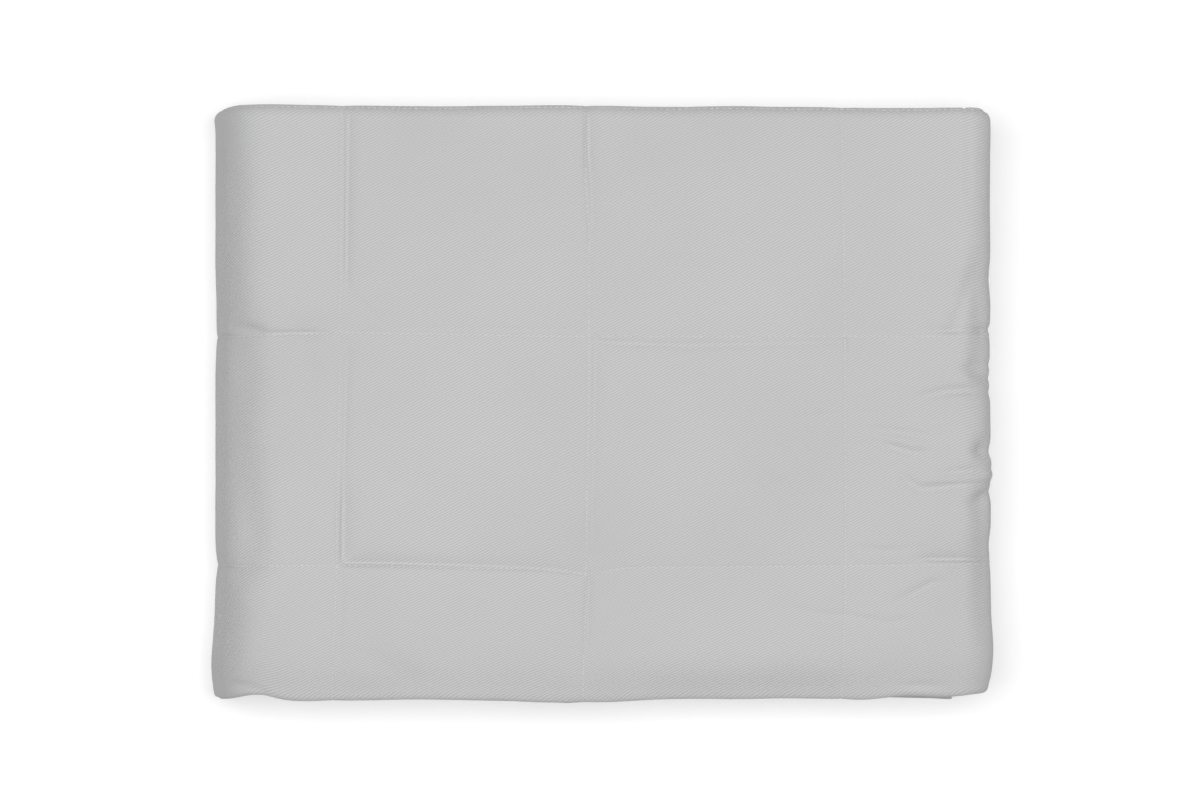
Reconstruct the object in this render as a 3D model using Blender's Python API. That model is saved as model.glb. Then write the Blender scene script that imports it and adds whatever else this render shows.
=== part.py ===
"""A weighted blanket, quilted in pockets and folded in half twice each way into a flat pack.

The cloth starts as a flat slab: u runs along its length, v across its width, and w out from its
middle. It is laid across its width in four plies, a bundle, and the bundle is laid along its
length in four again. In the finished pack X runs to the right, Y to the back and Z up, from the
middle of the underside.
"""

import collections
import math

import bmesh
import bpy
import numpy as np

MM = 0.001

# The folded pack
PACK_LENGTH = 475 * MM  # from the bend at the left to the bend at the right
PACK_DEPTH = 365 * MM  # from the front edge to the fold at the back

# The cloth: two faces with the filling between them
PLY = 4.2 * MM  # in the middle of a pocket
SEWN_PLY = 1.8 * MM  # along a seam
FOLDED_PLY = 3.3 * MM  # round a sharp fold, where the filling gives way
HEM_PLY = 2.8 * MM
HEM_EDGE = 1.8 * MM
HEM_WIDTH = 12 * MM
HEM_ROUND = 2.5 * MM
PLY_PITCH = 5.0 * MM  # a ply and the air under it
BUNDLE = 3 * PLY_PITCH + PLY
BUNDLE_PITCH = 4 * PLY_PITCH + 0.5 * MM
PACK_HEIGHT = 3 * BUNDLE_PITCH + BUNDLE

# The quilting
POCKET_LENGTH = 152.5 * MM
POCKET_WIDTH = 139 * MM
LONG_SEAM = 78 * MM  # the first one on top, from the left
CROSS_SEAM = 140.5 * MM  # the first one on top, from the back
PUFF_REACH = 24 * MM  # from a seam to the full thickness
LEAST_POCKET = 35 * MM  # a seam nearer than this to the hem is left out
FOLD_REACH = 12 * MM  # how far from a sharp fold the filling gives way

# How far each free edge lies in from the edge of the pack, the lowest layer's first
HEM_INSETS = (2.5 * MM, 5.0 * MM)
END_INSETS = (20.5 * MM, 10 * MM)
# How far the inner bend lies in from the one around it
PLY_NEST = 1.5 * MM
BUNDLE_NEST = 4.0 * MM

# Mesh lines
SEAM_SIDE = 6 * MM  # from a seam to the line beside it
SHOWN_STEPS = 2  # lines between two seams where the cloth shows
HIDDEN_STEPS = 1
SIDE_ROOM = 2.5 * MM  # a line beside a seam is left out when another is this near
POCKET_ROOM = 10 * MM
EDGE_LINES = (14 * MM, 34 * MM)  # from the front edge, where the layers droop

CLOTH_GREY = (0.56, 0.565, 0.575, 1.0)

# A run is straight and ends in a half bend: turn is 1 for a bend that wraps round the earlier
# runs, -1 for the nested one and 0 for none. Steps are the mesh steps round the bend.
Run = collections.namedtuple("Run", "length radius turn steps")

# Places where the outline is drawn in (or, below zero, stands out). At runs from the left or
# from the back along that side. All in millimetres.
Dent = collections.namedtuple("Dent", "side at reach inset low")
DENTS = (
    Dent("left", 4, 7, -1.6, 1.0),
    Dent("left", 122, 14, 0.7, 1.0),
    Dent("left", 282, 7, 0.5, 1.0),
    Dent("left", 345, 24, -2.5, 1.0),
    Dent("right", 55, 50, 0.9, 1.0),
    Dent("right", 107, 10, 1.2, 1.0),
    Dent("right", 165, 45, 0.7, 1.0),
    Dent("right", 224, 7, -1.2, 1.0),
    Dent("right", 268, 8, 1.2, 1.0),
    Dent("right", 336, 18, -1.4, 1.0),
    Dent("right", 362, 7, 1.6, 1.0),
    Dent("back", 0, 10, 0.7, 0.75),
    Dent("back", 140, 70, 1.3, 0.75),
    Dent("back", 275, 40, 1.6, 0.75),
    Dent("back", 340, 30, 0.8, 0.75),
    Dent("back", 420, 70, 2.3, 0.75),
    Dent("front", 28, 14.5, 4.3, 0.75),
    Dent("front", 60, 60, 1.2, 0.75),
    Dent("front", 130, 40, 2.1, 0.75),
    Dent("front", 178, 26, 1.2, 0.75),
    Dent("front", 290, 45, 2.6, 0.75),
    Dent("front", 345, 24, 0.8, 0.75),
    Dent("front", 370, 40, 2.2, 0.75),
    Dent("front", 420, 18, 2.4, 1.0),
    Dent("front", 437, 25, 2.5, 0.0),
    Dent("front", 474, 24, 5.4, 0.3),
)
DENT_DEPTH = 45 * MM  # how far into the pack a dent is felt
LOW_LEVEL = 0.3  # share of the height from which dents are whole

Corner = collections.namedtuple("Corner", "right back radius")
CORNERS = (
    Corner(-1, 1, 1.5 * MM),
    Corner(1, 1, 6.5 * MM),
    Corner(1, -1, 6 * MM),
    Corner(-1, -1, 4 * MM),
)

# Swells and hollows of the stack, from the middle of the pack, with the height that each adds to
# the top. All in millimetres.
Swell = collections.namedtuple("Swell", "x y reach height")
SWELLS = (
    Swell(-90, 40, 130, 1.6),
    Swell(90, 20, 140, 1.2),
    Swell(-180, -150, 80, -1.5),
    Swell(215, -165, 90, -4.0),
    Swell(215, 165, 80, -2.0),
    Swell(60, -175, 90, -2.0),
    Swell(-210, 165, 80, -1.5),
    Swell(20, 180, 120, -1.0),
)
FRONT_DROOP = 7 * MM  # of the top along the front edge
DROOP_REACH = 20 * MM
FLOOR_PRESS = 1.4 * MM  # the relief underneath, which the weight presses flat

# How the bend at the left hangs: its upper half lies further in, and its lower half bulges out
HANG_IN = 5.5 * MM
HANG_OUT = 6.6 * MM
HANG_REACH = 19 * MM  # how far into the pack it is felt
HANG_LEVELS = (0.12, 0.64)  # the shares of the height between which it changes over

# Shifts of each layer towards the front, a row for places along the blanket
Drift = collections.namedtuple("Drift", "share shift")
DRIFTS = (
    Drift(0.00, 2.0),
    Drift(0.05, 0.0),
    Drift(0.15, -0.8),
    Drift(0.30, 0.0),
    Drift(0.54, 0.0),
    Drift(0.68, 1.4),
    Drift(0.80, -0.6),
    Drift(1.00, 0.3),
)
HEM_WANDER = 1.6 * MM  # how far a free edge strays from straight
HEM_WAVE = 310 * MM


def folded_in_four(extent, thickness, pitch, insets, nest, steps):
    """The runs of something folded in half twice, from its free edge at the bottom: out to the
    far side, back over the top, and out and back once more inside."""
    far = extent - 1.5 * pitch - thickness / 2
    near = pitch / 2 + thickness / 2
    return (
        Run(far - insets[0], 1.5 * pitch, 1, steps[0]),
        Run(far - near, 0.5 * pitch, 1, steps[1]),
        Run(far - nest - near, 0.5 * pitch, -1, steps[2]),
        Run(far - nest - insets[1], 0.0, 0, 0),
    )


def flat_size(runs):
    return sum(run.length + abs(run.turn) * math.pi * run.radius for run in runs)


def bend_spans(runs):
    """Where each bend starts and ends along the flat cloth."""
    spans = []
    done = 0.0
    for run in runs[:3]:
        start = done + run.length
        done = start + math.pi * run.radius
        spans.append((start, done))
    return spans


def seam_places(on_top, pitch, thickness, layer_pitch, runs):
    """Seams at an even pitch along the flat cloth, one of them at a given distance from the
    outside of the far bend, on the second run."""
    anchor = bend_spans(runs)[0][1] + on_top - 1.5 * layer_pitch - thickness / 2
    first = anchor - pitch * math.floor((anchor - LEAST_POCKET) / pitch)
    return np.arange(first, flat_size(runs) - LEAST_POCKET, pitch)


WIDTH_RUNS = folded_in_four(PACK_DEPTH, PLY, PLY_PITCH, HEM_INSETS, PLY_NEST, (6, 5, 4))
LENGTH_RUNS = folded_in_four(
    PACK_LENGTH, BUNDLE, BUNDLE_PITCH, END_INSETS, BUNDLE_NEST, (14, 7, 6)
)
WIDTH_SEAMS = seam_places(CROSS_SEAM, POCKET_WIDTH, PLY, PLY_PITCH, WIDTH_RUNS)
LENGTH_SEAMS = seam_places(LONG_SEAM, POCKET_LENGTH, BUNDLE, BUNDLE_PITCH, LENGTH_RUNS)
BLANKET_WIDTH = flat_size(WIDTH_RUNS)
BLANKET_LENGTH = flat_size(LENGTH_RUNS)


def mesh_lines(runs, seams, edge_lines=()):
    """Where the mesh has its lines along the flat cloth: at the hems, round the bends, at and
    beside the seams that show, between the seams, and at given distances from the near edge."""
    size = flat_size(runs)
    spans = bend_spans(runs)
    lines = [0.0, HEM_ROUND, HEM_WIDTH, size - HEM_WIDTH, size - HEM_ROUND, size]
    shown = [seam for seam in seams if spans[0][0] < seam < spans[1][1]]
    wanted = [(seam, 0.0) for seam in shown]
    for (start, end), run in zip(spans, runs):
        step = (end - start) / run.steps
        wanted += [(start + i * step, 0.4 * step) for i in range(run.steps + 1)]
    near_start, near_end = spans[1]
    for distance in edge_lines:
        for place in (distance, near_start - distance, near_end + distance, size - distance):
            wanted.append((place, SIDE_ROOM))
    for seam in shown:
        wanted += [(seam - SEAM_SIDE, SIDE_ROOM), (seam + SEAM_SIDE, SIDE_ROOM)]
    edges = [HEM_WIDTH, *seams, size - HEM_WIDTH]
    for before, after in zip(edges, edges[1:]):
        steps = SHOWN_STEPS if before in shown or after in shown else HIDDEN_STEPS
        for i in range(1, steps + 1):
            wanted.append((before + (after - before) * i / (steps + 1), POCKET_ROOM))
    for place, room in wanted:
        if min(abs(place - line) for line in lines) > room:
            lines.append(place)
    return np.array(sorted(lines))


def soft_spot(distance, reach):
    """1 at a place, fading to 0 at about twice the reach from it."""
    return np.exp(-((distance / reach) ** 2))


def rise(distance, reach):
    """A round shoulder, from 0 at a seam to 1 at the given reach from it."""
    return np.sqrt(1 - (1 - np.clip(distance / reach, 0, 1)) ** 2)


def smooth(share):
    share = np.clip(share, 0, 1)
    return share * share * (3 - 2 * share)


def from_seam(place, seams, size):
    """How far a place is from the nearest seam or hem."""
    lines = np.concatenate([seams, [HEM_WIDTH, size - HEM_WIDTH]])
    return np.abs(place[:, None] - lines).min(axis=1)


def fold_pinch(place, runs):
    """1 within a sharp fold, fading to 0 away from it."""
    pinch = np.zeros_like(place)
    for start, end in bend_spans(runs)[1:]:
        outside = np.maximum(start - place, place - end).clip(0)
        pinch = np.maximum(pinch, soft_spot(outside, FOLD_REACH))
    return pinch


def half_thickness(u, v):
    """Half the thickness of the quilted cloth at each place on it."""
    puff = rise(from_seam(u, LENGTH_SEAMS, BLANKET_LENGTH), PUFF_REACH)
    puff *= rise(from_seam(v, WIDTH_SEAMS, BLANKET_WIDTH), PUFF_REACH)
    pinch = np.maximum(fold_pinch(u, LENGTH_RUNS), fold_pinch(v, WIDTH_RUNS))
    full = PLY + (FOLDED_PLY - PLY) * pinch
    thickness = SEWN_PLY + (full - SEWN_PLY) * puff
    to_edge = np.minimum(
        np.minimum(u, BLANKET_LENGTH - u), np.minimum(v, BLANKET_WIDTH - v)
    )
    hem = HEM_EDGE + (HEM_PLY - HEM_EDGE) * rise(to_edge, HEM_ROUND)
    return np.where(to_edge < HEM_WIDTH * 0.99, hem, thickness) / 2


def fold(place, out, runs, start, height):
    """Carries points to the folded section, from their place along the cloth and their distance
    out from its middle. Start and height are where the free edge lies."""
    along = np.zeros_like(place)
    up = np.zeros_like(place)
    at, level, heading, done = start, height, 0.0, 0.0
    for run in runs:
        here = place >= done
        along = np.where(here, at + (place - done) * math.cos(heading), along)
        up = np.where(here, level - out * math.cos(heading), up)
        at += run.length * math.cos(heading)
        done += run.length
        if run.turn:
            here = place >= done
            centre = level + run.turn * run.radius * math.cos(heading)
            reach = run.turn * run.radius + out
            turned = heading + run.turn * (place - done) / run.radius
            along = np.where(here, at + reach * np.sin(turned), along)
            up = np.where(here, centre - reach * np.cos(turned), up)
            level = 2 * centre - level
            heading += run.turn * math.pi
            done += math.pi * run.radius
    return along, up


def eased(at, places, values):
    """Values at given places, with a smooth step from each to the next."""
    index = np.clip(np.searchsorted(places, at, side="right") - 1, 0, len(places) - 2)
    step = smooth((at - places[index]) / (places[index + 1] - places[index]))
    return values[index] + (values[index + 1] - values[index]) * step


def drift(u, v):
    """How far each point of the cloth lies towards the front of its place."""
    places = np.array([row.share for row in DRIFTS]) * BLANKET_LENGTH
    shift = eased(u, places, np.array([row.shift for row in DRIFTS]) * MM)
    near_hem = np.minimum(v, BLANKET_WIDTH - v) / PACK_DEPTH
    loose = np.clip(1 - 2 * near_hem, 0, 1)
    side = np.where(v < BLANKET_WIDTH / 2, 0.0, 1.9)
    return shift + HEM_WANDER * loose * np.sin(2 * math.pi * u / HEM_WAVE + side)


def hung(x, level):
    """Carries the upper half of the bend at the left in, and its lower half out."""
    low, high = HANG_LEVELS
    upper = smooth((level - low) / (high - low))
    shift = HANG_IN * upper - HANG_OUT * (1 - upper)
    return x + shift * soft_spot((x + PACK_LENGTH / 2).clip(0), HANG_REACH)


def dented(x, y, level):
    """Draws the outline in at its dents, less so in the low layers."""
    from_left = x + PACK_LENGTH / 2
    from_back = PACK_DEPTH / 2 - y
    sides = {
        "left": (from_back, from_left),
        "right": (from_back, PACK_LENGTH - from_left),
        "back": (from_left, from_back),
        "front": (from_left, PACK_DEPTH - from_back),
    }
    raised = (level / LOW_LEVEL).clip(0, 1)
    inset = {}
    for side, (along, depth) in sides.items():
        drawn_in = np.zeros_like(x)
        for dent in DENTS:
            if dent.side == side:
                share = dent.low + (1 - dent.low) * raised
                drawn_in += dent.inset * MM * share * soft_spot(along - dent.at * MM, dent.reach * MM)
        inset[side] = drawn_in * soft_spot(depth.clip(0), DENT_DEPTH)
    return x + inset["left"] - inset["right"], y + inset["front"] - inset["back"]


def with_round_corners(x, y):
    for corner in CORNERS:
        past_x = corner.right * x - PACK_LENGTH / 2 + corner.radius
        past_y = corner.back * y - PACK_DEPTH / 2 + corner.radius
        inside = (past_x > 0) & (past_y > 0)
        reach = np.hypot(past_x, past_y)
        keep = np.where(inside, np.maximum(past_x, past_y) / np.maximum(reach, 1e-9), 1)
        x = x - corner.right * np.where(inside, past_x * (1 - keep), 0)
        y = y - corner.back * np.where(inside, past_y * (1 - keep), 0)
    return x, y


def settled(x, y, z):
    """Heights after the stack has sagged, with the underside flat on what it lies on."""
    level = z / PACK_HEIGHT
    from_front = (y + PACK_DEPTH / 2).clip(0)
    rise_on_top = -FRONT_DROOP * soft_spot(from_front, DROOP_REACH)
    for swell in SWELLS:
        apart = np.hypot(x - swell.x * MM, y - swell.y * MM)
        rise_on_top += swell.height * MM * soft_spot(apart, swell.reach * MM)
    return np.maximum(z + level * rise_on_top - FLOOR_PRESS, 0)


def lay_in_pack(u, v, face):
    """The place in the pack of each point of the flat cloth, with face 1 on its outer side and
    -1 on its inner side."""
    w = face * half_thickness(u, v)
    from_front, up = fold(v, w, WIDTH_RUNS, HEM_INSETS[0], PLY / 2)
    from_right, z = fold(u, up - BUNDLE / 2, LENGTH_RUNS, END_INSETS[0], BUNDLE / 2)
    x = hung(PACK_LENGTH / 2 - from_right, z / PACK_HEIGHT)
    y = from_front - PACK_DEPTH / 2 - drift(u, v)
    z_settled = settled(x, y, z)
    x, y = dented(x, y, z / PACK_HEIGHT)
    x, y = with_round_corners(x, y)
    return x, y, z_settled


def cloth_material():
    material = bpy.data.materials.new("grey_cotton")
    material.use_nodes = True
    shader = material.node_tree.nodes["Principled BSDF"]
    shader.inputs["Base Color"].default_value = CLOTH_GREY
    shader.inputs["Roughness"].default_value = 0.9
    shader.inputs["Metallic"].default_value = 0.0
    return material


def flat_slab(columns, rows):
    """A closed slab of the given number of mesh steps, one unit along each side."""
    bm = bmesh.new()
    bmesh.ops.create_grid(bm, x_segments=columns, y_segments=rows, size=0.5)
    made = bmesh.ops.extrude_face_region(bm, geom=bm.faces[:], use_keep_orig=True)
    raised = [item for item in made["geom"] if isinstance(item, bmesh.types.BMVert)]
    bmesh.ops.translate(bm, verts=raised, vec=(0.0, 0.0, 1.0))
    bmesh.ops.recalc_face_normals(bm, faces=bm.faces[:])
    mesh = bpy.data.meshes.new("blanket")
    bm.to_mesh(mesh)
    bm.free()
    return mesh


def make_blanket():
    """The blanket as one solid: a flat slab, quilted and folded."""
    u_lines = mesh_lines(LENGTH_RUNS, LENGTH_SEAMS)
    v_lines = mesh_lines(WIDTH_RUNS, WIDTH_SEAMS, EDGE_LINES)
    columns, rows = len(u_lines) - 1, len(v_lines) - 1
    mesh = flat_slab(columns, rows)
    points = np.empty(len(mesh.vertices) * 3)
    mesh.vertices.foreach_get("co", points)
    points = points.reshape(-1, 3)
    u = u_lines[np.rint((points[:, 0] + 0.5) * columns).astype(int)]
    v = v_lines[np.rint((0.5 - points[:, 1]) * rows).astype(int)]
    face = np.where(points[:, 2] > 0.5, 1.0, -1.0)
    x, y, z = lay_in_pack(u, v, face)
    x -= (x.min() + x.max()) / 2
    y -= (y.min() + y.max()) / 2
    mesh.vertices.foreach_set("co", np.column_stack([x, y, z]).ravel())
    mesh.update()
    mesh.shade_smooth()
    mesh.materials.append(cloth_material())
    return bpy.data.objects.new("blanket", mesh)


def main():
    for obj in list(bpy.data.objects):
        bpy.data.objects.remove(obj)
    pack = bpy.data.collections.new("weighted_blanket")
    bpy.context.scene.collection.children.link(pack)
    pack.objects.link(make_blanket())


main()
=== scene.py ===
"""The looks of a folded weighted blanket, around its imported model.

The blanket is laid again through the same folds as its solid, on a finer mesh, with the creases,
the strayed seams and the thread of the real one. Its cloth starts flat: u runs along its length,
v across its width, and w out from its middle. Places on top of the pack are in millimetres from
its left edge and from its back edge, as they are seen from above.
"""

import collections
import math

import bmesh
import bpy
import numpy as np
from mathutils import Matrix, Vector, noise


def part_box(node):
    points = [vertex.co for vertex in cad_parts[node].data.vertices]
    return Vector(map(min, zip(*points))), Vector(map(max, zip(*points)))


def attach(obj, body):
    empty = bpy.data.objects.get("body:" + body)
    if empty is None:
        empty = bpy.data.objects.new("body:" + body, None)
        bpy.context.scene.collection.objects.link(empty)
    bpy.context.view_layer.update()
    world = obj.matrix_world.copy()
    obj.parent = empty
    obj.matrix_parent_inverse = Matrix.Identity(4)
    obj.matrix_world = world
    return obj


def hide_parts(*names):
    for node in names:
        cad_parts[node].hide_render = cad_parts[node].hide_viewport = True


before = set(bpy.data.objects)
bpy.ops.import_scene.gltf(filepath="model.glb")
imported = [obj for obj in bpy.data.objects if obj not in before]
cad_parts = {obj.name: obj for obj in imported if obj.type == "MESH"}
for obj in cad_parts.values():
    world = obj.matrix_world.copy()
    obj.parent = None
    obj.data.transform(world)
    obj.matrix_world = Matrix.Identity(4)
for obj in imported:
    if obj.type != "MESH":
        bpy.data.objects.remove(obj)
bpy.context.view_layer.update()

MM = 0.001
TINY = 1e-9  # keeps a division from being by zero

# The folded pack
PACK_LENGTH = 475 * MM  # from the bend at the left to the bend at the right
PACK_DEPTH = 365 * MM  # from the front edge to the fold at the back

# The cloth: two faces with the filling between them
PLY = 4.2 * MM  # in the middle of a pocket
SEWN_PLY = 1.8 * MM  # along a seam
FOLDED_PLY = 3.3 * MM  # round a sharp fold, where the filling gives way
HEM_PLY = 2.8 * MM
HEM_EDGE = 1.8 * MM
HEM_WIDTH = 12 * MM
HEM_ROUND = 2.5 * MM
HEM_LIMIT = 0.99 * HEM_WIDTH  # the hem ends a little short of its seam, which is sewn thin
LEAST_PLY = 0.6 * MM  # left of the cloth under the deepest crease
PLY_PITCH = 5.0 * MM  # a ply and the air under it
BUNDLE = 3 * PLY_PITCH + PLY
BUNDLE_PITCH = 4 * PLY_PITCH + 0.5 * MM
PACK_HEIGHT = 3 * BUNDLE_PITCH + BUNDLE

# The quilting
POCKET_LENGTH = 152.5 * MM
POCKET_WIDTH = 139 * MM
LONG_SEAM = 78 * MM  # the first one on top, from the left
CROSS_SEAM = 140.5 * MM  # the first one on top, from the back
PUFF_REACH = 24 * MM  # from a seam to the full thickness
LEAST_POCKET = 35 * MM  # a seam nearer than this to the hem is left out
FOLD_REACH = 12 * MM  # how far from a sharp fold the filling gives way

# How far each free edge lies in from the edge of the pack, the lowest layer's first
HEM_INSETS = (2.5 * MM, 5.0 * MM)
END_INSETS = (20.5 * MM, 10 * MM)
# How far the inner bend lies in from the one around it
PLY_NEST = 1.5 * MM
BUNDLE_NEST = 4.0 * MM

# Mesh lines, and how far apart they are. Where the cloth shows, its outer face is then split
# finer.
SEAM_SIDES = (2.4, 6.0)  # from a seam, in millimetres
LINE_ROOM = 0.5 * MM  # lines nearer than this to another are left out
ALONG_GAP = 6.0 * MM
ACROSS_GAP = 5.6 * MM
HIDDEN_GAP = 36 * MM
LENGTH_BEND_GAPS = (6.4 * MM, 3.4 * MM, 4.0 * MM)  # round each bend, the lowest first
WIDTH_BEND_GAPS = (3.1 * MM, 2.1 * MM, 2.2 * MM)
FINER_CUTS = 2  # of each mesh edge
MOST_LINES = 1000  # more than the mesh has either way

# The thread
STITCH_PITCH = 3.7 * MM
STITCH_LENGTH = 2.7 * MM
THREAD = 0.38 * MM  # thick in the middle of a stitch
THREAD_END = 0.45  # of that thickness where a stitch enters the cloth
THREAD_SINK = 0.4  # thicknesses that its ends lie in the cloth
THREAD_BOW = 0.5  # thicknesses that its middle rises from its ends
THREAD_SIDES = 6
THREAD_RINGS = 5

# A run is straight and ends in a half bend: turn is 1 for a bend that wraps round the earlier
# runs, -1 for the nested one and 0 for none. Gap is between the mesh lines round the bend.
Run = collections.namedtuple("Run", "length radius turn gap")
OUTER_BEND = 1.5  # radius of the bend round all four layers, in their pitches
INNER_BEND = 0.5  # and of the other two bends

# Places where the outline is drawn in (or, below zero, stands out). At runs from the left or
# from the back along that side, and low is the share of the dent that is left at the bottom of
# the stack. The rest is in millimetres.
Dent = collections.namedtuple("Dent", "side at reach inset low")
DENTS = (
    Dent("left", 4, 7, -1.6, 1.0),
    Dent("left", 122, 14, 0.7, 1.0),
    Dent("left", 282, 7, 0.5, 1.0),
    Dent("left", 345, 24, -2.5, 1.0),
    Dent("right", 55, 50, 0.9, 1.0),
    Dent("right", 107, 10, 1.2, 1.0),
    Dent("right", 165, 45, 0.7, 1.0),
    Dent("right", 224, 7, -1.2, 1.0),
    Dent("right", 268, 8, 1.2, 1.0),
    Dent("right", 336, 18, -1.4, 1.0),
    Dent("right", 362, 7, 1.6, 1.0),
    Dent("back", 0, 10, 0.7, 0.75),
    Dent("back", 140, 70, 1.3, 0.75),
    Dent("back", 275, 40, 1.6, 0.75),
    Dent("back", 340, 30, 0.8, 0.75),
    Dent("back", 420, 70, 2.3, 0.75),
    Dent("front", 28, 14.5, 4.3, 0.75),
    Dent("front", 60, 60, 1.2, 0.75),
    Dent("front", 130, 40, 2.1, 0.75),
    Dent("front", 178, 26, 1.2, 0.75),
    Dent("front", 290, 45, 2.6, 0.75),
    Dent("front", 345, 24, 0.8, 0.75),
    Dent("front", 370, 40, 2.2, 0.75),
    Dent("front", 420, 18, 2.4, 1.0),
    Dent("front", 437, 25, 2.5, 0.0),
    Dent("front", 474, 24, 5.4, 0.3),
)
DENT_DEPTH = 45 * MM  # how far into the pack a dent is felt
LOW_LEVEL = 0.3  # share of the height from which dents are whole

Corner = collections.namedtuple("Corner", "right back radius")
CORNERS = (
    Corner(-1, 1, 1.5 * MM),
    Corner(1, 1, 6.5 * MM),
    Corner(1, -1, 6 * MM),
    Corner(-1, -1, 4 * MM),
)

# Swells and hollows of the stack, from the middle of the pack, with the height that each adds to
# the top. All in millimetres.
Swell = collections.namedtuple("Swell", "x y reach height")
SWELLS = (
    Swell(-90, 40, 130, 1.6),
    Swell(90, 20, 140, 1.2),
    Swell(-180, -150, 80, -1.5),
    Swell(215, -165, 90, -4.0),
    Swell(215, 165, 80, -2.0),
    Swell(60, -175, 90, -2.0),
    Swell(-210, 165, 80, -1.5),
    Swell(20, 180, 120, -1.0),
)
FRONT_DROOP = 7 * MM  # of the top along the front edge
DROOP_REACH = 20 * MM
FLOOR_PRESS = 1.4 * MM  # the relief underneath, which the weight presses flat

# How the bend at the left hangs: its upper half lies further in, and its lower half bulges out
HANG_IN = 5.5 * MM
HANG_OUT = 6.6 * MM
HANG_REACH = 19 * MM  # how far into the pack it is felt
HANG_LEVELS = (0.12, 0.64)  # the shares of the height between which it changes over

# Shifts of the cloth towards the front, in millimetres, at shares of the blanket's length
Drift = collections.namedtuple("Drift", "share shift")
DRIFTS = (
    Drift(0.00, 2.0),
    Drift(0.05, 0.0),
    Drift(0.15, -0.8),
    Drift(0.30, 0.0),
    Drift(0.54, 0.0),
    Drift(0.68, 1.4),
    Drift(0.80, -0.6),
    Drift(1.00, 0.3),
)
HEM_WANDER = 1.6 * MM  # how far a free edge strays from straight
HEM_WAVE = 310 * MM
HEM_LOOSE = PACK_DEPTH / 2  # how far into the cloth its edge's straying is felt
FAR_HEM_PHASE = 1.9  # of the wave of the free edge inside the fold, in radians

# How far each seam on top strays from its even place: the long ones to the right, at distances
# from the back, and the cross ones to the front, at distances from the left. In millimetres.
Stray = collections.namedtuple("Stray", "seam at shift")
LONG_STRAYS = (
    Stray(0, 0, 1.6),
    Stray(0, 140, 1.0),
    Stray(0, 283, -1.4),
    Stray(0, 357, -3.9),
    Stray(1, 0, -3.2),
    Stray(1, 42, -3.0),
    Stray(1, 84, -0.8),
    Stray(1, 140, -0.8),
    Stray(1, 283, -2.7),
    Stray(1, 357, -4.5),
    Stray(2, 0, -0.2),
    Stray(2, 140, 1.6),
    Stray(2, 283, 2.2),
    Stray(2, 357, 0.4),
)
CROSS_STRAYS = (
    Stray(0, 0, 1.3),
    Stray(0, 77, -1.1),
    Stray(0, 228, 1.1),
    Stray(0, 475, 1.1),
    Stray(1, 0, 2.0),
    Stray(1, 77, 0.8),
    Stray(1, 195, 3.0),
    Stray(1, 228, 5.7),
    Stray(1, 262, 2.0),
    Stray(1, 475, 0.6),
)
STRAY_FADE = 60 * MM  # beyond the bends at the edge of what shows

# Creases, each through its spots from one end to the other, with the height that it adds at each
# spot, below zero for a trough. All in millimetres.
Spot = collections.namedtuple("Spot", "left back height")
Crease = collections.namedtuple("Crease", "width spots")
# Soft sags and swells of the whole stack
SAGS = (
    # down the bend at the left
    Crease(
        11,
        [
            Spot(6, -5, -1.8),
            Spot(6, 33, -2.6),
            Spot(12, 52, -3.8),
            Spot(7, 80, -2.8),
            Spot(8, 114, -2.8),
            Spot(15, 140, -3.2),
            Spot(19, 166, -3.6),
            Spot(15, 195, -3.4),
            Spot(19, 227, -3.8),
            Spot(24, 262, -4.6),
            Spot(20, 280, -3.4),
            Spot(8, 298, -2.8),
            Spot(8, 365, -1.8),
        ],
    ),
    # down the bend at the right
    Crease(5, [Spot(466, 92, -0.8), Spot(466, 120, -2.2), Spot(467, 138, -2.0)]),
    Crease(5.5, [Spot(468, 145, -2.2), Spot(466, 158, -2.8), Spot(470, 168, -2.4)]),
    Crease(6, [Spot(470, 178, 1.6), Spot(470, 198, 1.8)]),
    Crease(4.5, [Spot(470, 205, -2.0), Spot(468, 211, -3.0), Spot(470, 216, -2.0)]),
    Crease(4, [Spot(470, 220, 1.2), Spot(470, 231, 1.5)]),
    Crease(5, [Spot(470, 236, -3.0), Spot(467, 243, -3.0), Spot(470, 276, -1.6)]),
    Crease(6, [Spot(470, 284, -2.4), Spot(469, 300, -2.0), Spot(470, 330, -1.6)]),
    Crease(
        15,
        [
            Spot(475, 80, 0),
            Spot(475, 108, -4.2),
            Spot(475, 160, -5.6),
            Spot(475, 180, -4.4),
            Spot(475, 206, -3.4),
            Spot(475, 240, -4.8),
            Spot(475, 280, -6.4),
            Spot(475, 304, -3.6),
            Spot(475, 366, -1.6),
        ],
    ),
    # in the pockets at the left
    Crease(
        34,
        [
            Spot(4, 60, -1.5),
            Spot(4, 130, -3.0),
            Spot(6, 150, -6.0),
            Spot(6, 270, -6.0),
            Spot(4, 300, -3.0),
        ],
    ),
    Crease(8, [Spot(54, 137, -1.2), Spot(69, 137, -1.2)]),
    Crease(5, [Spot(31, 33, 0), Spot(55, 33.5, -0.9), Spot(76, 33.5, 0)]),
    Crease(7, [Spot(58, 142, -0.8), Spot(60, 200, -1.0), Spot(57, 232, -0.6)]),
    # in the middle
    Crease(7, [Spot(316, 222, 0), Spot(342, 232, -1.6), Spot(368, 243, 0)]),
    # along the front
    Crease(8, [Spot(98, 338, -1.0), Spot(122, 350, -1.2)]),
    Crease(
        16,
        [
            Spot(-5, 378, -3.0),
            Spot(90, 374, -3.6),
            Spot(150, 378, -3.6),
            Spot(230, 376, -3.4),
            Spot(256, 372, -4.4),
            Spot(290, 369, -6.8),
            Spot(340, 368, -7.6),
            Spot(376, 368, -6.8),
            Spot(400, 373, -4.0),
            Spot(420, 382, -3.0),
            Spot(480, 380, -3.0),
        ],
    ),
)
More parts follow.
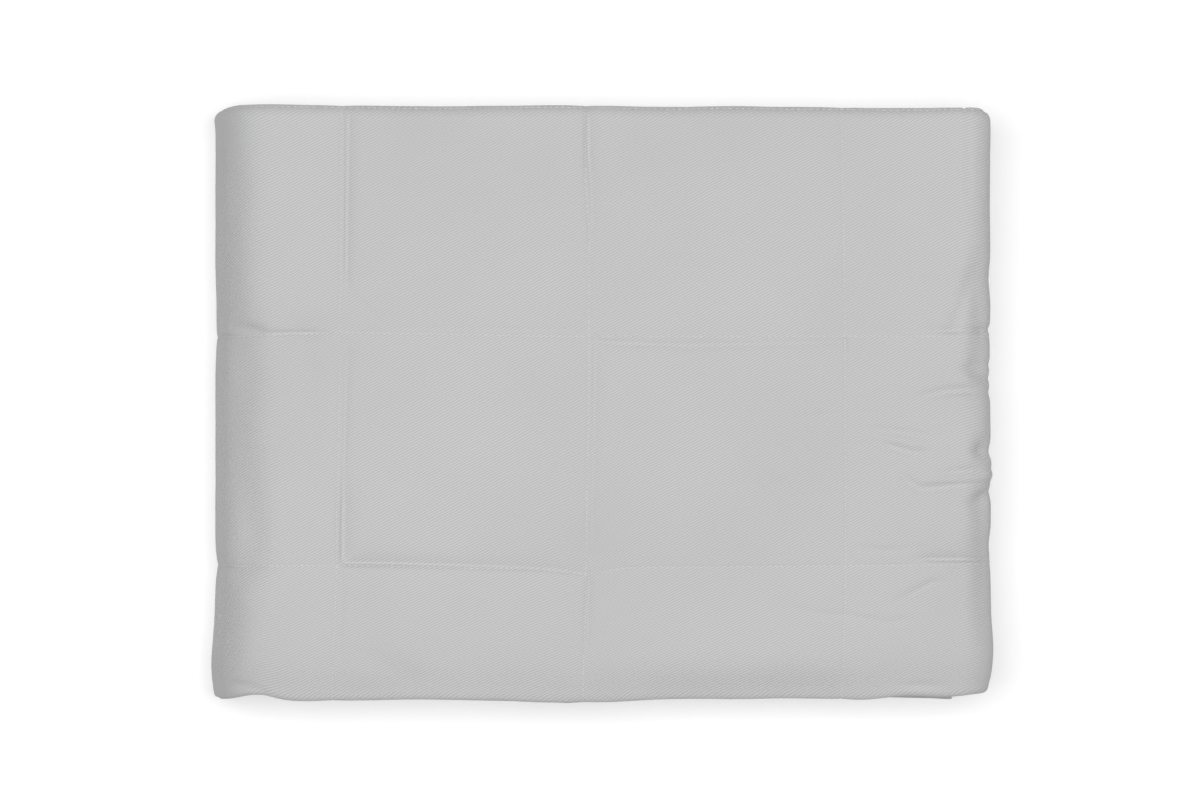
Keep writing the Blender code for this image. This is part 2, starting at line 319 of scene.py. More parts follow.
# Tucks, where the stack drops to a sharp valley: whether it runs across, from left to right, or
# from back to front, how wide it is on the side before it (towards the left or the back) and on
# the side after it, and its spots. All in millimetres.
Tuck = collections.namedtuple("Tuck", "across before after spots")
TUCKS = (
    # along the first long seam
    Tuck(
        False,
        1.7,
        4.0,
        [
            Spot(83.7, -6, -2.2),
            Spot(83.5, 12, -3.0),
            Spot(83.1, 60, -3.0),
            Spot(82.7, 100, -2.6),
            Spot(82.9, 112, -1.2),
            Spot(82.9, 122, 0),
        ],
    ),
    Tuck(
        False,
        1.3,
        3.2,
        [
            Spot(83.3, 143, 0),
            Spot(83.1, 152, -1.4),
            Spot(82.1, 185, -1.6),
            Spot(81.5, 205, -1.8),
            Spot(80.9, 228, -1.8),
            Spot(80.7, 240, 0),
        ],
    ),
    Tuck(
        False,
        1.9,
        6.5,
        [
            Spot(81.5, 200, 0),
            Spot(81.1, 226, -1.8),
            Spot(80.7, 244, -3.8),
            Spot(80.3, 274, -4.0),
            Spot(80.3, 282, 0),
        ],
    ),
    Tuck(False, 1.1, 2.8, [Spot(79.5, 284, -0.8), Spot(78.7, 320, -1.0), Spot(78.1, 352, 0)]),
    # along the second
    Tuck(
        False,
        2.0,
        5.0,
        [
            Spot(229.1, -6, -2.8),
            Spot(229.3, 34, -3.2),
            Spot(230.9, 50, -2.0),
            Spot(231.3, 74, -1.7),
            Spot(231.1, 90, 0),
        ],
    ),
    Tuck(
        False,
        1.4,
        4.2,
        [
            Spot(233.3, 141, -1.4),
            Spot(232.9, 176, -1.8),
            Spot(232.1, 210, -1.3),
            Spot(231.1, 276, -1.0),
            Spot(230.9, 281, 0),
        ],
    ),
    Tuck(False, 1.2, 2.8, [Spot(229.3, 286, -1.7), Spot(228.7, 320, -1.1), Spot(227.7, 342, 0)]),
    # along the third
    Tuck(False, 0.9, 2.4, [Spot(384.7, 334, 0), Spot(384.5, 346, -0.6), Spot(384.1, 358, -0.4)]),
    # across, at the first cross seam
    Tuck(
        True,
        0.9,
        4.2,
        [
            Spot(28, 139.4, 0),
            Spot(40, 139.2, -0.9),
            Spot(64, 139.0, -0.8),
            Spot(74, 138.8, 0),
        ],
    ),
    Tuck(
        True,
        3.0,
        1.0,
        [
            Spot(98, 137.2, 0),
            Spot(112, 137.2, -0.5),
            Spot(226, 138.2, -0.7),
            Spot(231, 138.6, 0),
        ],
    ),
    Tuck(
        True,
        3.0,
        3.8,
        [
            Spot(226, 143.8, 0),
            Spot(236, 144.8, -1.9),
            Spot(246, 145.6, -2.5),
            Spot(290, 147.0, -2.4),
            Spot(330, 146.4, -1.9),
            Spot(376, 145.2, -1.4),
            Spot(390, 144.8, 0),
        ],
    ),
    Tuck(
        True,
        3.0,
        1.0,
        [
            Spot(430, 138.8, 0),
            Spot(442, 138.6, -1.8),
            Spot(462, 138.4, -2.2),
            Spot(480, 138, -1.0),
        ],
    ),
    # across, at the second
    Tuck(
        True,
        0.9,
        4.6,
        [
            Spot(-6, 283.4, -0.8),
            Spot(8, 283.0, -1.6),
            Spot(30, 282.6, -1.2),
            Spot(44, 282.4, 0),
        ],
    ),
    Tuck(
        True,
        6.0,
        1.6,
        [
            Spot(76, 279.2, 0),
            Spot(82, 279.0, -3.4),
            Spot(112, 279.2, -3.6),
            Spot(134, 279.8, -3.0),
            Spot(166, 280.8, -2.4),
            Spot(206, 282.4, -1.8),
            Spot(222, 284.6, -1.4),
            Spot(236, 287.2, 0),
        ],
    ),
    Tuck(
        True,
        4.6,
        1.1,
        [
            Spot(424, 277.2, 0),
            Spot(436, 277.2, -3.0),
            Spot(462, 277.4, -4.8),
            Spot(482, 277.6, -3.0),
        ],
    ),
)
# Creases of the cloth's outer face
CREASES = (
    # along the first long seam
    Crease(3.4, [Spot(81, 106, -0.5), Spot(88, 120, -0.6), Spot(96, 127, -0.4), Spot(107, 131, 0)]),
    # along the first cross seam
    Crease(1.0, [Spot(231, 141.6, 0.4), Spot(388, 141.6, 0.4), Spot(466, 141.6, 0.3)]),
    Crease(1.4, [Spot(386, 144.4, 0), Spot(400, 143.8, -0.4), Spot(420, 143.6, 0)]),
    Crease(1.1, [Spot(384.6, 143.6, -0.8), Spot(385.2, 147.5, -0.8), Spot(385.4, 152, 0)]),
    Crease(2.2, [Spot(462, 137.6, 0), Spot(469, 137.4, -1.8), Spot(480, 137, -0.6)]),
    # at the left
    Crease(3.2, [Spot(13, 135.8, -1.2), Spot(22, 137, -2.8), Spot(28, 138.4, -2.4), Spot(34, 138.6, 0)]),
    Crease(2.6, [Spot(33, 130, 0), Spot(35, 134, 0.8), Spot(40, 136, 0)]),
    Crease(
        1.2,
        [
            Spot(-8, 142.6, -0.5),
            Spot(6, 141.6, -0.8),
            Spot(28, 139.6, -0.6),
            Spot(62, 138.8, -0.3),
        ],
    ),
    # at the right
    Crease(1.8, [Spot(460, -4, -0.8), Spot(460.5, 50, -0.7), Spot(461, 68, 0)]),
    Crease(3.8, [Spot(464, 98, 0), Spot(460, 112, -1.7), Spot(450, 138, -1.2), Spot(449, 143, 0)]),
    Crease(2.6, [Spot(453, 160.6, 0), Spot(463, 159.6, -1.8), Spot(477, 158.5, -0.8)]),
    Crease(3.0, [Spot(455, 161, 0), Spot(465, 163.8, -2.2), Spot(478, 168, -0.8)]),
    Crease(
        3.2,
        [
            Spot(420, 181.5, 0),
            Spot(432, 178.4, -1.3),
            Spot(445, 175.4, -2.2),
            Spot(459, 174.4, -2.9),
            Spot(470, 175.2, -1.6),
            Spot(482, 176, -0.4),
        ],
    ),
    Crease(2.0, [Spot(440, 180.4, 0), Spot(456, 178.4, 0.8), Spot(470, 179, 0)]),
    Crease(2.2, [Spot(355, 189.6, 0), Spot(370, 189.6, -0.8), Spot(386, 189.3, 0)]),
    Crease(2.2, [Spot(386, 189.3, 0), Spot(398, 188.8, -0.8), Spot(412, 187.8, 0)]),
    Crease(2.2, [Spot(394, 197.2, 0), Spot(410, 198.8, -1.3), Spot(430, 201.2, -1.2), Spot(449, 203.7, 0)]),
    Crease(1.6, [Spot(402, 202.8, 0), Spot(415, 205, 0.7), Spot(430, 207.4, 0.7), Spot(442, 209, 0)]),
    Crease(2.3, [Spot(402, 204.2, 0), Spot(412, 208.2, -1.6), Spot(425, 211.9, -1.7), Spot(440, 212.2, 0)]),
    Crease(1.8, [Spot(389, 207.5, 0), Spot(395.5, 207.5, -0.8), Spot(402, 207.5, 0)]),
    Crease(4.2, [Spot(460, 210.3, 0), Spot(468, 210.8, -2.4), Spot(480, 211.5, -0.8)]),
    Crease(
        2.6,
        [
            Spot(438, 225.3, 0),
            Spot(448, 224.2, -1.5),
            Spot(460, 222.9, -2.2),
            Spot(478, 221.6, -0.8),
        ],
    ),
    Crease(1.6, [Spot(426, 228.8, 0), Spot(440, 228.2, 0.8), Spot(472, 227.3, 0.8)]),
    Crease(
        2.6,
        [
            Spot(418, 223.5, 0),
            Spot(422.5, 229, -1.4),
            Spot(430, 234.5, -1.9),
            Spot(450, 232.3, -2.2),
            Spot(478, 229.6, -0.9),
        ],
    ),
    Crease(3.2, [Spot(480, 234, -0.8), Spot(469, 238.4, -2.6), Spot(462, 242.5, -1.2), Spot(464, 247, 0)]),
    Crease(2.0, [Spot(387, 270.2, 0), Spot(400, 270.9, -0.9), Spot(413, 271.5, -1.0), Spot(438, 269, 0)]),
    Crease(2.0, [Spot(443, 281.5, 0), Spot(452, 284, -1.7), Spot(463, 287.4, 0)]),
    Crease(2.8, [Spot(412, 305.5, 0), Spot(425, 298.6, -1.6), Spot(437, 292, -2.0), Spot(451, 289.4, 0)]),
    Crease(
        2.4,
        [
            Spot(342, 305.2, 0),
            Spot(368, 310.6, -0.9),
            Spot(390, 312, -0.9),
            Spot(411, 316.9, -1.2),
            Spot(431, 312.6, 0),
        ],
    ),
    # at the front
    Crease(2.2, [Spot(8, 353, 0), Spot(20, 357.5, -1.7), Spot(34, 362.5, -1.0)]),
    Crease(2.0, [Spot(414, 358.2, 0), Spot(432, 357.6, -1.4), Spot(452, 357.5, 0)]),
)
CREASE_FADE = 25 * MM  # beyond the bends at the edge of what shows
LUMP = 0.22 * MM  # unevenness of the filling
LUMP_SIZE = 26 * MM

# The twill, as its lines lie on the cloth
TWILL_ANGLE = 28.0  # degrees, rising to the right on top of the pack
TWILL_PERIOD = 1.5 * MM
YARN_PERIOD = 0.95 * MM
TWILL_WAVER = 0.9 * MM  # how far a line strays, from side to side
FLOAT_CONTRAST = 0.35  # share of a line's lightness that changes from yarn to yarn
# What the lines and the flecks add to the lightness, and where it reaches the light tone
LINE_LIGHT = 0.16
FLECK_LIGHT = 0.05
FULL_LIGHT = 0.16
# Share of a line's lightness in the faintest patch, and how much more in the strongest
PATCH_LEAST = 0.4
PATCH_RANGE = 1.2
TWILL_DEPTH = 0.16 * MM
FLECK_DEPTH = 0.06 * MM
TWIST_DEPTH = 0.05 * MM  # of the thread's twist
# Scales of the noises, in cells a metre
WAVER_SCALE = 60.0
PATCH_SCALE = 9.0
FLECK_SCALE = 900.0
TWIST_SCALE = 2500.0

# Tones, as linear light
CLOTH_DARK = (0.455, 0.456, 0.460, 1.0)
CLOTH_LIGHT = (0.590, 0.590, 0.593, 1.0)
THREAD_DARK = (0.62, 0.62, 0.625, 1.0)
THREAD_LIGHT = (0.74, 0.74, 0.74, 1.0)
FLOOR_TONE = (0.60, 0.60, 0.60, 1.0)
WHITE = (1.0, 1.0, 1.0, 1.0)

# The studio. The floor glows a little, which keeps the pack's shadow on it pale.
FLOOR_GLOW = 0.42
FLOOR_REACH = 6.0  # metres each way from the middle
SOFTBOX_PLACE = (0.0, 0.2, 4.8)  # metres, from the floor under the middle of the pack
SOFTBOX_WIDTH = 4.6
SOFTBOX_DEPTH = 2.4
SOFTBOX_POWER = 261.5  # watts
# The world is pale just above the horizon and dim overhead. Heights are on a dome 1 high.
HORIZON_LIGHT = 0.55
SKY_LIGHT = 0.07
HORIZON_TOP = 0.055  # where the pale band starts to fade
SKY_START = 0.09  # where it has faded

# The picture: what the camera sees, from above
PHOTO_WIDTH = 1200
PHOTO_HEIGHT = 800
PIXEL = 0.61 * MM  # at the height of the pack's outline
OUTLINE_LEVEL = 50 * MM
PACK_MIDDLE = (600.8, 404.5)  # the pixel over the middle of the pack
CAMERA_HEIGHT = 4.0
SENSOR = 36.0  # millimetres


def folded_in_four(extent, thickness, pitch, insets, nest, gaps):
    """The runs of something folded in half twice, from its free edge at the bottom: out to the
    far side, back over the top, and out and back once more inside."""
    far = extent - OUTER_BEND * pitch - thickness / 2
    near = INNER_BEND * pitch + thickness / 2
    return (
        Run(far - insets[0], OUTER_BEND * pitch, 1, gaps[0]),
        Run(far - near, INNER_BEND * pitch, 1, gaps[1]),
        Run(far - nest - near, INNER_BEND * pitch, -1, gaps[2]),
        Run(far - nest - insets[1], 0.0, 0, 0.0),
    )


def flat_size(runs):
    return sum(run.length + abs(run.turn) * math.pi * run.radius for run in runs)


def bend_spans(runs):
    """Where each bend starts and ends along the flat cloth."""
    spans = []
    done = 0.0
    for run in runs[:3]:
        start = done + run.length
        done = start + math.pi * run.radius
        spans.append((start, done))
    return spans


def seam_places(on_top, pitch, thickness, layer_pitch, runs):
    """Seams at an even pitch along the flat cloth, one of them at a given distance from the
    outside of the far bend, on the second run."""
    anchor = bend_spans(runs)[0][1] + on_top - OUTER_BEND * layer_pitch - thickness / 2
    first = anchor - pitch * math.floor((anchor - LEAST_POCKET) / pitch)
    return np.arange(first, flat_size(runs) - LEAST_POCKET, pitch)


WIDTH_RUNS = folded_in_four(PACK_DEPTH, PLY, PLY_PITCH, HEM_INSETS, PLY_NEST, WIDTH_BEND_GAPS)
LENGTH_RUNS = folded_in_four(
    PACK_LENGTH, BUNDLE, BUNDLE_PITCH, END_INSETS, BUNDLE_NEST, LENGTH_BEND_GAPS
)
WIDTH_SEAMS = seam_places(CROSS_SEAM, POCKET_WIDTH, PLY, PLY_PITCH, WIDTH_RUNS)
LENGTH_SEAMS = seam_places(LONG_SEAM, POCKET_LENGTH, BUNDLE, BUNDLE_PITCH, LENGTH_RUNS)
BLANKET_WIDTH = flat_size(WIDTH_RUNS)
BLANKET_LENGTH = flat_size(LENGTH_RUNS)


def shown_span(runs):
    """The stretch of cloth that shows on top and round the bends beside it."""
    spans = bend_spans(runs)
    return spans[0][0], spans[1][1]


def shown_seams(seams, runs):
    start, end = shown_span(runs)
    return [seam for seam in seams if start < seam < end]


def filled_in(lines, gap_at):
    """The lines with more between them, no further apart than the gap wanted there."""
    lines = sorted(lines)
    full = [lines[0]]
    for before, after in zip(lines, lines[1:]):
        gap = gap_at((before + after) / 2)
        steps = max(1, round((after - before) / gap))
        full += [before + (after - before) * i / steps for i in range(1, steps + 1)]
    return np.array(full)


def mesh_lines(runs, seams, shown_gap):
    """Where the mesh has its lines along the flat cloth."""
    size = flat_size(runs)
    start, end = shown_span(runs)
    lines = [0.0, HEM_EDGE / 2, HEM_ROUND, HEM_WIDTH]
    lines += [size - line for line in lines]
    wanted = [edge for span in bend_spans(runs) for edge in span]
    wanted += list(seams)
    for seam in shown_seams(seams, runs):
        wanted += [seam + way * side * MM for side in SEAM_SIDES for way in (-1, 1)]
    for place in wanted:
        if min(abs(place - line) for line in lines) > LINE_ROOM:
            lines.append(place)

    def gap_at(place):
        for (low, high), run in zip(bend_spans(runs), runs):
            if low < place < high:
                return run.gap
        return shown_gap if start < place < end else HIDDEN_GAP

    return filled_in(lines, gap_at)


def soft_spot(distance, reach):
    """1 at a place, fading to 0 at about twice the reach from it."""
    return np.exp(-((distance / reach) ** 2))


def rise(distance, reach):
    """A round shoulder, from 0 at a seam to 1 at the given reach from it."""
    return np.sqrt(1 - (1 - np.clip(distance / reach, 0, 1)) ** 2)


def smooth(share):
    share = np.clip(share, 0, 1)
    return share * share * (3 - 2 * share)


def from_seam(place, seams, size):
    """How far a place is from the nearest seam or hem."""
    lines = np.concatenate([seams, [HEM_WIDTH, size - HEM_WIDTH]])
    return np.abs(place[:, None] - lines).min(axis=1)


def fold_pinch(place, runs):
    """1 within a sharp fold, fading to 0 away from it."""
    pinch = np.zeros_like(place)
    for start, end in bend_spans(runs)[1:]:
        outside = np.maximum(start - place, place - end).clip(0)
        pinch = np.maximum(pinch, soft_spot(outside, FOLD_REACH))
    return pinch


def half_thickness(u, v):
    """Half the thickness of the quilted cloth at each place on it."""
    puff = rise(from_seam(u, LENGTH_SEAMS, BLANKET_LENGTH), PUFF_REACH)
    puff *= rise(from_seam(v, WIDTH_SEAMS, BLANKET_WIDTH), PUFF_REACH)
    pinch = np.maximum(fold_pinch(u, LENGTH_RUNS), fold_pinch(v, WIDTH_RUNS))
    full = PLY + (FOLDED_PLY - PLY) * pinch
    thickness = SEWN_PLY + (full - SEWN_PLY) * puff
    to_edge = np.minimum(
        np.minimum(u, BLANKET_LENGTH - u), np.minimum(v, BLANKET_WIDTH - v)
    )
    hem = HEM_EDGE + (HEM_PLY - HEM_EDGE) * rise(to_edge, HEM_ROUND)
    return np.where(to_edge < HEM_LIMIT, hem, thickness) / 2


def round_bend(turn):
    """How far out a bend carries the cloth as it is seen from above, as a share of its radius.
    Past the edge it goes on along the cloth."""
    return np.where(turn < math.pi / 2, np.sin(turn), 1 + turn - math.pi / 2)


def from_edge(place, runs, pitch, thickness):
    """How far places on the cloth lie from the edge of the pack at its first bend."""
    (_, start), (end, _) = bend_spans(runs)[:2]
    first = OUTER_BEND * pitch + thickness / 2
    last = INNER_BEND * pitch + thickness / 2
    before = np.maximum(start - place, 0) / runs[0].radius
    after = np.maximum(place - end, 0) / runs[1].radius
    on_top = np.clip(place, start, end) - start
    return first * (1 - round_bend(before)) + on_top + last * round_bend(after)


def from_left(u):
    left = from_edge(u, LENGTH_RUNS, BUNDLE_PITCH, BUNDLE)
    return left + HANG_IN * soft_spot(left.clip(0), HANG_REACH)


def from_back(v):
    return from_edge(v, WIDTH_RUNS, PLY_PITCH, PLY)


def shown(u, v, fade):
    """1 where the cloth shows on top and round the bends, fading to 0 beyond."""
    share = np.ones_like(u)
    for place, runs in ((u, LENGTH_RUNS), (v, WIDTH_RUNS)):
        start, end = shown_span(runs)
        outside = np.maximum(start - place, place - end).clip(0)
        share = share * (1 - smooth(outside / fade))
    return share


def creased(creases, left, back):
    """The height that creases add at places on top of the pack. Where they cross, they add
    up."""
    added = np.zeros_like(left)
    for crease in creases:
        most = np.zeros_like(left)
        for start, end in zip(crease.spots, crease.spots[1:]):
            run_left, run_back = end.left - start.left, end.back - start.back
            off_left, off_back = left / MM - start.left, back / MM - start.back
            share = (off_left * run_left + off_back * run_back) / (run_left**2 + run_back**2)
            share = share.clip(0, 1)
            apart = np.hypot(off_left - share * run_left, off_back - share * run_back)
            height = start.height + (end.height - start.height) * share
            height = height * MM * soft_spot(apart, crease.width)
            most = np.where(np.abs(height) > np.abs(most), height, most)
        added += most
    return added


def tucked(left, back):
    """The height that tucks add at places on top of the pack. Where two meet, the deeper one
    counts."""
    added = np.zeros_like(left)
    for tuck in TUCKS:
        along, aside = (left, back) if tuck.across else (back, left)
        ats = [spot.left if tuck.across else spot.back for spot in tuck.spots]
        places = [spot.back if tuck.across else spot.left for spot in tuck.spots]
        heights = [spot.height for spot in tuck.spots]
        height = np.interp(along / MM, ats, heights)
        inside = (along / MM > ats[0]) & (along / MM < ats[-1])
        off = aside / MM - np.interp(along / MM, ats, places)
        width = np.where(off < 0, tuck.before, tuck.after)
        valley = height * MM * np.exp(-np.abs(off) / width)
        added = np.where(inside, np.minimum(added, valley), added)
    return added


def outer_face(u, v):
    """How far the outer face lies from the middle of the cloth."""
    half = half_thickness(u, v)
    u_in_pack, v_in_pack = slid(u, v)
    relief = creased(CREASES, from_left(u_in_pack), from_back(v_in_pack))
    return np.maximum(half + relief * shown(u, v, CREASE_FADE), LEAST_PLY - half)


def fold(place, out, runs, start, height):
    """Carries points to the folded section, from their place along the cloth and their distance
    out from its middle. Start and height are where the free edge lies."""
    along = np.zeros_like(place)
    up = np.zeros_like(place)
    at, level, heading, done = start, height, 0.0, 0.0
    for run in runs:
        here = place >= done
        along = np.where(here, at + (place - done) * math.cos(heading), along)
        up = np.where(here, level - out * math.cos(heading), up)
        at += run.length * math.cos(heading)
        done += run.length
        if run.turn:
            here = place >= done
            centre = level + run.turn * run.radius * math.cos(heading)
            reach = run.turn * run.radius + out
            turned = heading + run.turn * (place - done) / run.radius
            along = np.where(here, at + reach * np.sin(turned), along)
            up = np.where(here, centre - reach * np.cos(turned), up)
            level = 2 * centre - level
            heading += run.turn * math.pi
            done += math.pi * run.radius
    return along, up


def eased(at, places, values):
    """Values at given places, with a smooth step from each to the next."""
    index = np.clip(np.searchsorted(places, at, side="right") - 1, 0, len(places) - 2)
    step = smooth((at - places[index]) / (places[index + 1] - places[index]))
    return values[index] + (values[index + 1] - values[index]) * step


def stray(strays, seams, across, along, pitch):
    """How far the cloth slides across its seams, at places across and along them."""
    shift = np.zeros_like(across)
    for index, seam in enumerate(seams):
        rows = [row for row in strays if row.seam == index]
        at_seam = eased(
            along, np.array([row.at for row in rows]) * MM, np.array([row.shift for row in rows])
        )
        shift += at_seam * MM * smooth(1 - np.abs(across - seam) / pitch)
    return shift


def slid(u, v):
    """Places on the cloth after it has slid within its folds, which carries the seams to where
    they lie on the pack."""
    share = shown(u, v, STRAY_FADE)
    long_seams = shown_seams(LENGTH_SEAMS, LENGTH_RUNS)
    cross_seams = shown_seams(WIDTH_SEAMS, WIDTH_RUNS)
    cross_seams = [seam for seam in cross_seams if from_back(seam) > HEM_WIDTH]
    right = stray(LONG_STRAYS, long_seams, u, from_back(v), POCKET_LENGTH)
    front = stray(CROSS_STRAYS, cross_seams, v, from_left(u), POCKET_WIDTH)
    return u + share * right, v + share * front


def drift(u, v):
    """How far each point of the cloth lies towards the front of its place."""
    places = np.array([row.share for row in DRIFTS]) * BLANKET_LENGTH
    shift = eased(u, places, np.array([row.shift for row in DRIFTS]) * MM)
    from_hem = np.minimum(v, BLANKET_WIDTH - v)
    loose = np.clip(1 - from_hem / HEM_LOOSE, 0, 1)
    phase = np.where(v < BLANKET_WIDTH / 2, 0.0, FAR_HEM_PHASE)
    return shift + HEM_WANDER * loose * np.sin(2 * math.pi * u / HEM_WAVE + phase)


def hung(x, level):
    """Carries the upper half of the bend at the left in, and its lower half out."""
    low, high = HANG_LEVELS
    upper = smooth((level - low) / (high - low))
    shift = HANG_IN * upper - HANG_OUT * (1 - upper)
    return x + shift * soft_spot((x + PACK_LENGTH / 2).clip(0), HANG_REACH)


def dented(x, y, level):
    """Draws the outline in at its dents, less so in the low layers."""
    left = x + PACK_LENGTH / 2
    back = PACK_DEPTH / 2 - y
    sides = {
        "left": (back, left),
        "right": (back, PACK_LENGTH - left),
        "back": (left, back),
        "front": (left, PACK_DEPTH - back),
    }
    raised = (level / LOW_LEVEL).clip(0, 1)
    inset = {}
    for side, (along, depth) in sides.items():
        drawn_in = np.zeros_like(x)
        for dent in DENTS:
            if dent.side == side:
                share = dent.low + (1 - dent.low) * raised
                here = soft_spot(along - dent.at * MM, dent.reach * MM)
                drawn_in += dent.inset * MM * share * here
        inset[side] = drawn_in * soft_spot(depth.clip(0), DENT_DEPTH)
    return x + inset["left"] - inset["right"], y + inset["front"] - inset["back"]


def with_round_corners(x, y):
    for corner in CORNERS:
        past_x = corner.right * x - PACK_LENGTH / 2 + corner.radius
        past_y = corner.back * y - PACK_DEPTH / 2 + corner.radius
        inside = (past_x > 0) & (past_y > 0)
        reach = np.maximum(np.hypot(past_x, past_y), TINY)
        keep = np.where(inside, np.maximum(past_x, past_y) / reach, 1)
        x = x - corner.right * np.where(inside, past_x * (1 - keep), 0)
        y = y - corner.back * np.where(inside, past_y * (1 - keep), 0)
    return x, y


def settled(x, y, z):
    """Heights after the stack has sagged, with the underside flat on what it lies on."""
    level = z / PACK_HEIGHT
    from_front = (y + PACK_DEPTH / 2).clip(0)
    rise_on_top = -FRONT_DROOP * soft_spot(from_front, DROOP_REACH)
    for swell in SWELLS:
        apart = np.hypot(x - swell.x * MM, y - swell.y * MM)
        rise_on_top += swell.height * MM * soft_spot(apart, swell.reach * MM)
    left, back = x + PACK_LENGTH / 2, PACK_DEPTH / 2 - y
    rise_on_top += creased(SAGS, left, back) + tucked(left, back)
    return np.maximum(z + level * rise_on_top - FLOOR_PRESS, 0)


def lay_in_pack(u, v, w):
    """The place in the pack of each point of the flat cloth."""
    u, v = slid(u, v)
    from_front, up = fold(v, w, WIDTH_RUNS, HEM_INSETS[0], PLY / 2)
    from_right, z = fold(u, up - BUNDLE / 2, LENGTH_RUNS, END_INSETS[0], BUNDLE / 2)
    x = hung(PACK_LENGTH / 2 - from_right, z / PACK_HEIGHT)
    y = from_front - PACK_DEPTH / 2 - drift(u, v)
    z_settled = settled(x, y, z)
    x, y = dented(x, y, z / PACK_HEIGHT)
    x, y = with_round_corners(x, y)
    return np.column_stack([x, y, z_settled])


def set_points(mesh, points):
    mesh.vertices.foreach_set("co", points.ravel())
    mesh.update()
    mesh.shade_smooth()


def get_points(mesh):
    points = np.empty(len(mesh.vertices) * 3)
    mesh.vertices.foreach_get("co", points)
    return points.reshape(-1, 3)


def linked(name, mesh, material):
    mesh.materials.append(material)
    made = bpy.data.objects.new(name, mesh)
    bpy.context.scene.collection.objects.link(made)
    return made


def add_cloth_map(mesh, u, v):
    """A map with each point's place on the flat cloth, in metres, for the weave to follow."""
    layer = mesh.uv_layers.new(name="cloth")
    corners = np.empty(len(mesh.loops), dtype=np.int32)
    mesh.loops.foreach_get("vertex_index", corners)
    layer.uv.foreach_set("vector", np.column_stack([u, v])[corners].ravel())


def face_order(face):
    """A number that sorts the flat slab's faces by their middles. Its walls are made in another
    order each run."""
    middle = face.calc_center_median()
    return (middle.z * MOST_LINES + middle.y) * MOST_LINES + middle.x


def flat_slab(u_lines, v_lines):
    """A closed slab on the given mesh lines, with its outer face split finer where it shows. A
    point's x and y count mesh lines, and its z is 1 on the outer face and 0 on the inner."""
    columns, rows = len(u_lines) - 1, len(v_lines) - 1
    bm = bmesh.new()
    bmesh.ops.create_grid(bm, x_segments=columns, y_segments=rows, size=0.5)
    made = bmesh.ops.extrude_face_region(bm, geom=bm.faces[:], use_keep_orig=True)
    raised = [item for item in made["geom"] if isinstance(item, bmesh.types.BMVert)]
    bmesh.ops.translate(bm, verts=raised, vec=(0.0, 0.0, 1.0))
    bmesh.ops.recalc_face_normals(bm, faces=bm.faces[:])
    for vert in bm.verts:
        vert.co.x = (vert.co.x + 0.5) * columns
        vert.co.y = (0.5 - vert.co.y) * rows
    u_shown = shown_span(LENGTH_RUNS)
    v_shown = shown_span(WIDTH_RUNS)
    u_low, u_high = np.searchsorted(u_lines, u_shown)
    v_low, v_high = np.searchsorted(v_lines, v_shown)
    fine = {
        vert
        for vert in raised
        if u_low <= round(vert.co.x) <= u_high and v_low <= round(vert.co.y) <= v_high
    }
    edges = [edge for edge in bm.edges if edge.verts[0] in fine and edge.verts[1] in fine]
    bmesh.ops.subdivide_edges(bm, edges=edges, cuts=FINER_CUTS, use_grid_fill=True)
    bm.faces.sort(key=face_order)
    mesh = bpy.data.meshes.new("blanket_cloth")
    bm.to_mesh(mesh)
    bm.free()
    return mesh


def lumps(u, v):
    """The filling's unevenness at each point."""
    rough = [
        noise.noise((a / LUMP_SIZE, b / LUMP_SIZE, 0.0)) for a, b in zip(u.tolist(), v.tolist())
    ]
    return LUMP * np.array(rough)


def make_blanket():
    """The blanket's cloth as one closed sheet, quilted, creased and folded."""
    u_lines = mesh_lines(LENGTH_RUNS, LENGTH_SEAMS, ALONG_GAP)
    v_lines = mesh_lines(WIDTH_RUNS, WIDTH_SEAMS, ACROSS_GAP)
    mesh = flat_slab(u_lines, v_lines)
    points = get_points(mesh)
    u = np.interp(points[:, 0], np.arange(len(u_lines)), u_lines)
    v = np.interp(points[:, 1], np.arange(len(v_lines)), v_lines)
    outer = outer_face(u, v) + lumps(u, v) * shown(u, v, CREASE_FADE)
    w = np.where(points[:, 2] > 0.5, outer, -half_thickness(u, v))
    set_points(mesh, lay_in_pack(u, v, w))
    add_cloth_map(mesh, u, v)
    mesh.calc_loop_triangles()
    print("blanket:", len(mesh.loop_triangles), "triangles")
    return linked("blanket_cloth", mesh, cloth_material())


def stitch_rows():
    """The seams that show, as (along the width or not, place of the seam, start, end)."""
    u_start, u_end = shown_span(LENGTH_RUNS)
    v_start, v_end = shown_span(WIDTH_RUNS)
    rows = []
    for seam in LENGTH_SEAMS:
        if u_start < seam < u_end:
            rows.append((True, seam, v_start, v_end))
        else:
            rows += [(True, seam, *span) for span in bend_spans(WIDTH_RUNS)[:2]]
    for seam in shown_seams(WIDTH_SEAMS, WIDTH_RUNS):
        on_edge = from_back(seam) < HEM_WIDTH
        low, high = (HEM_WIDTH, BLANKET_LENGTH - HEM_WIDTH) if on_edge else (u_start, u_end)
        rows.append((False, seam, low, high))
    return rows


